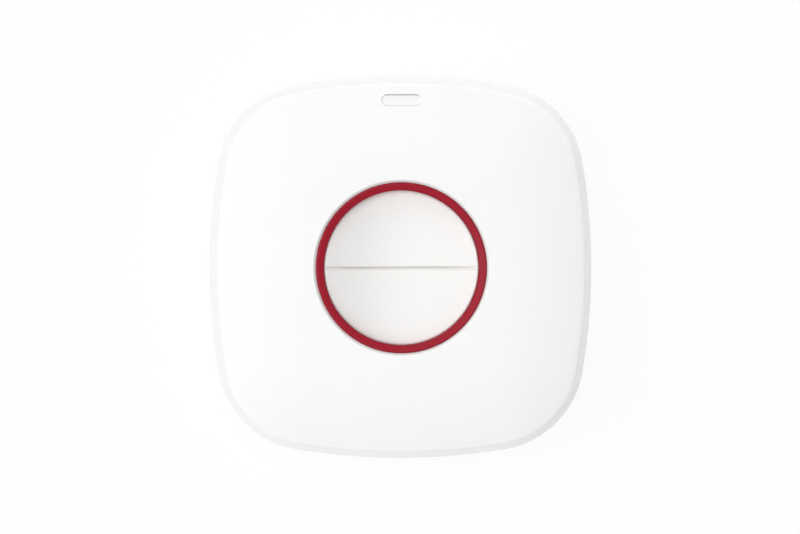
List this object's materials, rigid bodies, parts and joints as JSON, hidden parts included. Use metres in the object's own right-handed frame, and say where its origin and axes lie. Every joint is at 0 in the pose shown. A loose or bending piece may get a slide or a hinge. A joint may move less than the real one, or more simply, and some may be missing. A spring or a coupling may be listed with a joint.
{
  "type": "wireless panic button",
  "caption": "Rounded-square white wireless panic button with a split, dished round button in a red ring and a small status window.",
  "frame": {"origin": "centre of the back face, with the button lying on its back", "axes": "+Z out of the front face, +Y towards the status window, +X to the right seen from the front"},
  "size_m": [0.061, 0.061, 0.018],
  "materials": {
    "white_shell": "fine matt",
    "white_key": "satin",
    "red_trim": "satin",
    "frosted_window": "frosted",
    "board_green": "lacquered",
    "black_moulding": "matt",
    "bright_steel": "bright",
    "zinc_steel": "plated",
    "tinned_can": "tinned",
    "gilt_contact": "plated",
    "ceramic_brown": "matt",
    "led_lens": "clear"
  },
  "bodies": {
    "housing": {"front_cover": "white_shell", "rear_cover": "white_shell", "red_ring": "red_trim", "indicator_window": "frosted_window", "circuit_board": "board_green", "board_screws": "zinc_steel", "upper_switch_base": "black_moulding", "lower_switch_base": "black_moulding", "upper_switch_plate": "bright_steel", "lower_switch_plate": "bright_steel", "battery_holder": "black_moulding", "coin_cell": "bright_steel", "positive_contact": "gilt_contact", "negative_contact": "gilt_contact", "radio_shield": "tinned_can", "radio_chip": "black_moulding", "controller_chip": "black_moulding", "crystal": "tinned_can", "board_passives": "ceramic_brown", "status_led": "led_lens", "antenna": "gilt_contact"},
    "upper_button": {"upper_button": "white_key", "upper_switch_stem": "black_moulding"},
    "lower_button": {"lower_button": "white_key", "lower_switch_stem": "black_moulding"}
  },
  "joints": [
    {"name": "upper_button_press", "type": "slide", "parent": "housing", "child": "upper_button", "axis": [0, 0, -1], "range_m": [0, 0.0005], "stiffness_N_per_m": 2000, "springref_m": -0.0005},
    {"name": "lower_button_press", "type": "slide", "parent": "housing", "child": "lower_button", "axis": [0, 0, -1], "range_m": [0, 0.0005], "stiffness_N_per_m": 2000, "springref_m": -0.0005}
  ]
}
